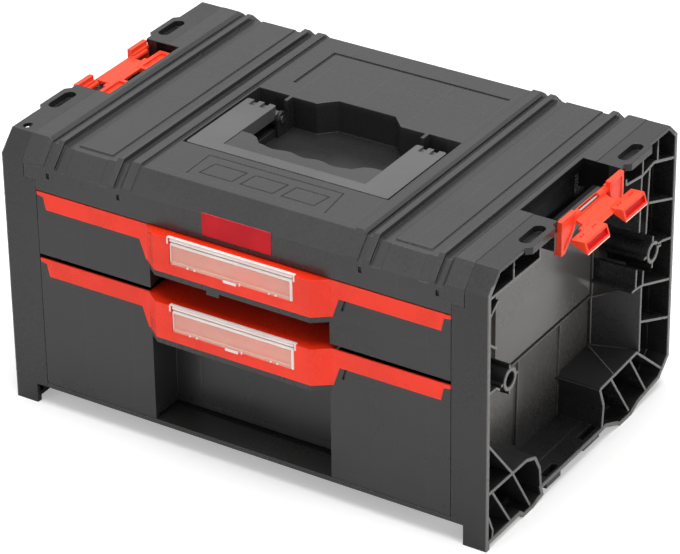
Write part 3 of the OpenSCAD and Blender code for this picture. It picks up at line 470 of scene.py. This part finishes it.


# ---------------------------------------------------------------- label windows
# A clear cover closes the card pocket in each fascia, and swings up on a rod under the pocket's rail.
# Pane, rod, lips, nubs and finger tab are one clear polycarbonate moulding. Its rod, lips, nubs and tab,
# and the rail above it, are painted milky white as painted highlight along the edges.
def clear_plastic(name, tint, cover, rough):
    """Polycarbonate: its tint, how much one skin of it hides, and its dullness."""
    finish = bpy.data.materials.new(name)
    start = begin_tree(finish)
    place = start.add("TexCoord", output="Object")
    rounded = start.add("Bevel", {"Radius": 0.0004}, samples=4)
    haze = start.add("TexNoise", {"Vector": place, "Scale": 40.0, "Detail": 3.0})
    scratch = start.add("TexNoise", {"Vector": place, "Scale": 1200.0, "Detail": 1.0})
    base = haze.ramp(0.3, 0.7).tint(opaque(*tint), opaque(*(part * 1.03 for part in tint)))
    hidden = haze.ramp(0.3, 0.7, cover * 0.94, cover * 1.06)
    dull = haze.ramp(0.3, 0.7, rough, rough + 0.08)
    relief = start.add("Bump", {"Strength": 0.1, "Distance": 0.0005, "Height": scratch, "Normal": rounded})
    pane = start.add(
        "BsdfPrincipled",
        {"Base Color": base, "Roughness": dull, "IOR": 1.49, "Alpha": hidden, "Normal": relief},
    )
    end_tree(start, pane)
    return finish


def add_rod(shape, start_x, end_x, y, z, radius, chamfer):
    """Adds a round rod along X, with chamfered ends."""
    turned = Matrix.Rotation(math.radians(90), 4, "Y")
    turned.translation = ((start_x + end_x) / 2, y, z)
    ring = bmesh.ops.create_cone(
        shape, cap_ends=True, segments=32, radius1=radius, radius2=radius,
        depth=end_x - start_x, matrix=turned,
    )["verts"]
    links = {edge for vert in ring for edge in vert.link_edges}
    caps = [edge for edge in links if abs(edge.verts[0].co.x - edge.verts[1].co.x) < chamfer]
    soften(shape, caps, chamfer, segments=1)


clear_pane = clear_plastic("window_clear", (1.00, 0.83, 0.68), cover=0.27, rough=0.10)
# Painted highlight: the thick edges and the rail are painted milky white.
milky_edge_highlight = clear_plastic("window_milky_highlight", (0.95, 0.87, 0.84), cover=0.84, rough=0.16)
window_half = 0.0570
rod_radius = 0.0014
rod_chamfer = 0.0003
rod_drop = 0.0018
nub_radius = 0.0009
nub_drop = 0.0222
nub_places = (-0.0402, -0.0338, 0.0356, 0.0418)

# The bars of a window, each by its low corner, its high corner and its edges' radius. They are
# measured from the middle of the rod's line, with Z from the underside of the rail above it.
pane_bars = {
    "pane": ((-0.0566, -0.0005, -0.0213), (0.0570, 0.0005, -0.0018), 0.0002),
    "sill": ((-0.0562, -0.0017, -0.0229), (0.0550, -0.0004, -0.0196), 0.0003),
}
edge_bars = {
    "upper lip": ((-0.0563, -0.0013, -0.0062), (0.0570, 0.0004, -0.0040), 0.0004),
    "right lip": ((0.0548, -0.0017, -0.0229), (0.0572, 0.0004, -0.0050), 0.0004),
    "left lip": ((-0.0569, -0.0010, -0.0213), (-0.0563, 0.0004, -0.0050), 0.0002),
    "finger tab": ((-0.0070, -0.0021, -0.0247), (0.0053, -0.0015, -0.0224), 0.0002),
    "locating peg": ((0.0079, -0.0020, -0.0238), (0.0091, -0.0014, -0.0214), 0.0002),
}
rail_bars = {
    "rail": ((-0.0594, -0.0014, 0.0000), (0.0594, 0.0015, 0.0010), 0.0004),
    "left lug": ((-0.0594, -0.0019, -0.0050), (-0.0580, -0.0013, 0.0008), 0.0002),
    "right lug": ((0.0580, -0.0019, -0.0050), (0.0594, -0.0013, 0.0008), 0.0002),
}


def bars(measured, origin):
    """A mesh of bars whose corners are measured from an origin."""
    shape = bmesh.new()
    for low, high, soft in measured.values():
        add_bar(shape, origin + Vector(low), origin + Vector(high), soft)
    return shape


for drawer in ("upper", "lower"):
    node, body = f"label_window_{drawer}", f"window_{drawer}"
    low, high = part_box(node)
    rod_y = low[1] + rod_radius
    rail_z = high[2] - rod_radius + rod_drop
    rail_line = Vector((0.0, rod_y, rail_z))

    piece = finished(f"window_pane_{drawer}", bars(pane_bars, rail_line), clear_pane, body)
    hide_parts(node)

    trim = bars(edge_bars, rail_line)
    add_rod(trim, -window_half, window_half, rod_y, rail_z - rod_drop, rod_radius, rod_chamfer)
    for x in nub_places:
        nub = bmesh.ops.create_uvsphere(trim, u_segments=12, v_segments=8, radius=nub_radius)["verts"]
        bmesh.ops.translate(trim, verts=nub, vec=(x, rod_y - rod_radius, rail_z - nub_drop))
    piece = finished(f"window_edge_{drawer}", trim, milky_edge_highlight, body)
    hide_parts(node)

    finished(f"window_rail_{drawer}", bars(rail_bars, rail_line), milky_edge_highlight, f"drawer_{drawer}")


# ---------------------------------------------------------------- front plate
# A thin plain plate of red enamelled aluminium is glued to the middle of the front rail.
# Its corners are nipped round, and its rolled front edge catches the light.
def enamel(name):
    """Red enamel fired on thin metal, painted paler towards its edges as painted highlight."""
    finish = bpy.data.materials.new(name)
    start = begin_tree(finish)
    place = start.add("TexCoord", output="Object")
    rounded, edge = soft_corners(start, 0.0005, 0.01, 0.20)
    pooled = start.add("TexNoise", {"Vector": place, "Scale": 30.0, "Detail": 2.0})
    grit = start.add("TexNoise", {"Vector": place, "Scale": 700.0, "Detail": 2.0})
    base = pooled.ramp(0.3, 0.7).tint(opaque(0.50, 0.008, 0.016), opaque(0.60, 0.011, 0.020))
    # Painted highlight: paler towards the edges.
    base = (0.8 * edge).tint(base, opaque(0.80, 0.25, 0.27))
    dull = pooled.ramp(0.3, 0.7, 0.20, 0.30)
    height = 0.3 * pooled + 0.04 * grit
    relief = start.add("Bump", {"Strength": 0.2, "Distance": 0.0004, "Height": height, "Normal": rounded})
    skin = start.add("BsdfPrincipled", {"Base Color": base, "Roughness": dull, "IOR": 1.22, "Normal": relief})
    end_tree(start, skin)
    return finish


plate_size = Vector((0.064, 0.0006, 0.0198))
plate_drop = 0.0266
nip_radius, roll_radius = 0.0010, 0.0002
rail_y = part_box("top_cover")[0][1]
plate = bmesh.new()
sheet = bmesh.ops.create_cube(plate, size=1.0)["verts"]
bmesh.ops.scale(plate, verts=sheet, vec=plate_size)
bmesh.ops.translate(plate, verts=sheet, vec=(0.0, rail_y - plate_size.y / 2, deck_z - plate_drop))
corners = [edge for edge in plate.edges if abs(edge.verts[0].co.y - edge.verts[1].co.y) > plate_size.y / 2]
soften(plate, corners, nip_radius, segments=4)
in_front = rail_y - plate_size.y * 0.8
brim = [edge for edge in plate.edges if max(vert.co.y for vert in edge.verts) < in_front]
soften(plate, brim, roll_radius)
finished("front_plate", plate, enamel("plate_enamel"), "housing")


# ---------------------------------------------------------------- carrying handle
# A satin black bail turns on two steel pins and folds flat into the cover.
# Its grip is a softer, duller moulding. Both have a coarser grain than the body.
handle_black = grained_plastic(
    "handle_black", (0.080, 0.0795, 0.0820), rough=0.32, corner=0.0010, grain=0.5
)
dress(handle_black, "handle_bail")
grip_soft = grained_plastic("grip_soft", (0.034, 0.0335, 0.0346), rough=0.36, corner=0.0014, grain=0.6)
dress(grip_soft, "handle_grip")


# ---------------------------------------------------------------- latches
# Each latch is a red flap on a steel pin, carried by a red bracket in the outer strip of the cover.
# It ends in two hooks, hollow below and sunk on their outer face. As painted shade, the sunk outer faces and
# small blocks standing for pits are a deeper red; as painted highlight, a pale bar runs along each hook's
# nose.
latch_red = glossy_plastic("latch_red", (0.94, 0.060, 0.020), rough=0.32, corner=0.0008)
# Painted shade: a deeper red for the sunk outer faces of the hooks and for the small blocks that stand for
# the pits.
latch_painted_shade = glossy_plastic("latch_painted_shade", (0.72, 0.004, 0.004), rough=0.40, corner=0.0004)
# Painted highlight: a pale bar along each hook's nose.
latch_painted_highlight = glossy_plastic("latch_painted_highlight", (0.95, 0.62, 0.54), rough=0.35, corner=0.0004)
dress(latch_red, "latch_bracket_left", "latch_bracket_right")


def add_tube(shape, outer, bore, start_y, end_y):
    """Adds a tube along Y round the origin."""
    corners = ((outer, start_y), (outer, end_y), (bore, end_y), (bore, start_y))
    ring = [shape.verts.new((radius, y, 0.0)) for radius, y in corners]
    outline = [shape.edges.new(pair) for pair in zip(ring, ring[1:] + ring[:1])]
    bmesh.ops.spin(
        shape, geom=ring + outline, cent=(0, 0, 0), axis=(0, 1, 0), angle=math.radians(360),
        steps=24, use_merge=True,
    )


def add_profile(shape, outline, start_y, end_y, soft):
    """Adds a solid whose outline in X and Z runs along Y, with its edges softened."""
    near = [shape.verts.new((x, start_y, z)) for x, z in outline]
    face = shape.faces.new(near)
    pushed = bmesh.ops.extrude_face_region(shape, geom=[face])["geom"]
    far = [item for item in pushed if isinstance(item, bmesh.types.BMVert)]
    bmesh.ops.translate(shape, verts=far, vec=(0, end_y - start_y, 0))
    soften(shape, list({edge for corner in near + far for edge in corner.link_edges}), soft)


# The flap as it lies when stowed, measured from the middle of its pin: X runs outwards, and Z up.
flap_bars = {
    "plate": ((-0.0150, -0.0240, 0.0000), (-0.0022, 0.0240, 0.0029), 0.0004),
    "tongue": ((-0.0186, -0.0122, 0.0001), (-0.0140, 0.0122, 0.0028), 0.0004),
    "hinge strip": ((-0.0024, -0.0240, 0.0015), (0.0016, 0.0240, 0.0030), 0.0003),
    "outer cheek": ((0.0020, -0.0152, -0.0014), (0.0028, 0.0152, 0.0018), 0.0003),
    "inner cheek": ((-0.0029, -0.0152, -0.0014), (-0.0021, 0.0152, 0.0006), 0.0003),
}
hook_outline = (
    (-0.0132, -0.0004), (-0.0240, -0.0056), (-0.0304, 0.0018), (-0.0304, 0.0030), (-0.0132, 0.0030)
)
knuckle_radius, knuckle_bore = 0.0030, 0.0013
knuckle_reach = (0.0150, 0.0240)
hook_reach = (0.0125, 0.0480)
wing_spans = ((-0.0145, -0.0102), (0.0200, 0.0300), (0.0001, 0.0027))
highlight_spans = ((-0.0308, -0.0298), (0.0132, 0.0473), (0.0019, 0.0032))
pit_places = (0.018, 0.022, 0.037, 0.041)
pit_half = 0.0009
pit_x, pit_z = (-0.0178, -0.0166), (-0.0030, -0.0012)
wing_soft, hook_soft, pit_soft, highlight_soft = 0.0004, 0.0005, 0.0002, 0.0003
sunk_depth = 0.0022
sunk_wall = 0.0001
sunk_margin = {"outer": 0.0016, "under": 0.0034}
broad_area = 1e-4
nearly_one = 0.99
plate_end = flap_bars["plate"][0][0]
past_wings = 0.027
heel, nose = (Vector((x, 0.0, z)) for x, z in hook_outline[1:3])
slope_facing = (nose - heel).cross(Vector((0.0, 1.0, 0.0))).normalized()


def on_end(end, reach):
    """A reach along Y on one end of the latch, from low to high."""
    return sorted(end * along for along in reach)


def add_end_bar(shape, end, spans, soft):
    """Adds a bar on one end of the latch from its spans along X, Y and Z."""
    across, reach, height = spans
    low, high = zip(across, on_end(end, reach), height)
    add_bar(shape, low, high, soft)


def sunk_kind(face):
    """Says whether a face is a hook's outer or under face, which are the two that are sunk."""
    middle = face.calc_center_median()
    if face.calc_area() <= broad_area or middle.x >= plate_end:
        return None
    if face.normal.dot(slope_facing) > nearly_one:
        return "outer"
    if face.normal.z > nearly_one and abs(middle.y) > past_wings:
        return "under"
    return None


for side, turn, mirrored in (("right", 203.0, 1), ("left", 0.0, -1)):
    node, body = f"latch_hook_{side}", f"latch_{side}"
    low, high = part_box(f"latch_pin_{side}")
    pin_axis = Matrix.Translation([(a + b) / 2 for a, b in zip(low, high)])
    flip = Matrix.Scale(mirrored, 4, (1, 0, 0))
    hung = pin_axis @ flip @ Matrix.Rotation(math.radians(turn), 4, "Y")

    flap = bars(flap_bars, Vector())
    for end in (-1, 1):
        add_tube(flap, knuckle_radius, knuckle_bore, *on_end(end, knuckle_reach))
        add_end_bar(flap, end, wing_spans, wing_soft)
        add_profile(flap, hook_outline, *on_end(end, hook_reach), hook_soft)
    bmesh.ops.recalc_face_normals(flap, faces=flap.faces)
    sunk = [(face, sunk_kind(face)) for face in flap.faces if sunk_kind(face)]
    for face, kind in sunk:
        bmesh.ops.inset_region(
            flap, faces=[face], thickness=sunk_margin[kind], depth=0.0, use_even_offset=True
        )
        walls = bmesh.ops.inset_region(
            flap, faces=[face], thickness=sunk_wall, depth=-sunk_depth, use_even_offset=True
        )["faces"]
        # Painted shade: the sunk outer face takes the deeper red.
        if kind == "outer":
            for deep in walls + [face]:
                deep.material_index = 1
    bmesh.ops.transform(flap, matrix=hung, verts=flap.verts)
    piece = finished(f"latch_flap_{side}", flap, latch_red, body)
    piece.data.materials.append(latch_painted_shade)
    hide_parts(node)

    # Painted shade: small deeper-red blocks stand where the hooks have pits.
    pit_shade = bmesh.new()
    for end in (-1, 1):
        for along in pit_places:
            add_end_bar(pit_shade, end, (pit_x, (along - pit_half, along + pit_half), pit_z), pit_soft)
    bmesh.ops.transform(pit_shade, matrix=hung, verts=pit_shade.verts)
    piece = finished(f"latch_pit_shade_{side}", pit_shade, latch_painted_shade, body)
    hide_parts(node)

    # Painted highlight along each hook's nose.
    wear_and_sheen = bmesh.new()
    for end in (-1, 1):
        add_end_bar(wear_and_sheen, end, highlight_spans, highlight_soft)
    bmesh.ops.transform(wear_and_sheen, matrix=hung, verts=wear_and_sheen.verts)
    piece = finished(f"latch_edge_{side}", wear_and_sheen, latch_painted_highlight, body)
    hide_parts(node)


# ---------------------------------------------------------------- steel pins and screws
# Zinc-plated pins and self-tapping screws hold the handle, the latches and the mouldings.
# They are bright, with fine turning marks and a little tarnish.
def bright_steel(name):
    """Zinc plate over turned steel."""
    finish = bpy.data.materials.new(name)
    start = begin_tree(finish)
    place = start.add("TexCoord", output="Object")
    turned = start.add("Mapping", {"Vector": place, "Scale": (300.0, 3000.0, 300.0)})
    marks = start.add("TexNoise", {"Vector": turned, "Scale": 1.0, "Detail": 3.0})
    tarnish = start.add("TexNoise", {"Vector": place, "Scale": 160.0, "Detail": 3.0})
    base = tarnish.tint(opaque(0.48, 0.48, 0.49), opaque(0.62, 0.62, 0.62))
    dull = marks.ramp(0.3, 0.7, 0.22, 0.34)
    relief = start.add("Bump", {"Strength": 0.2, "Distance": 0.0002, "Height": marks})
    metal = start.add(
        "BsdfPrincipled", {"Base Color": base, "Metallic": 1.0, "Roughness": dull, "Normal": relief}
    )
    end_tree(start, metal)
    return finish


plated = bright_steel("plated_steel")
dress(plated, "handle_pins", "latch_pin_left", "latch_pin_right")
dress(plated, "back_screws", "base_screws", "cover_screws")
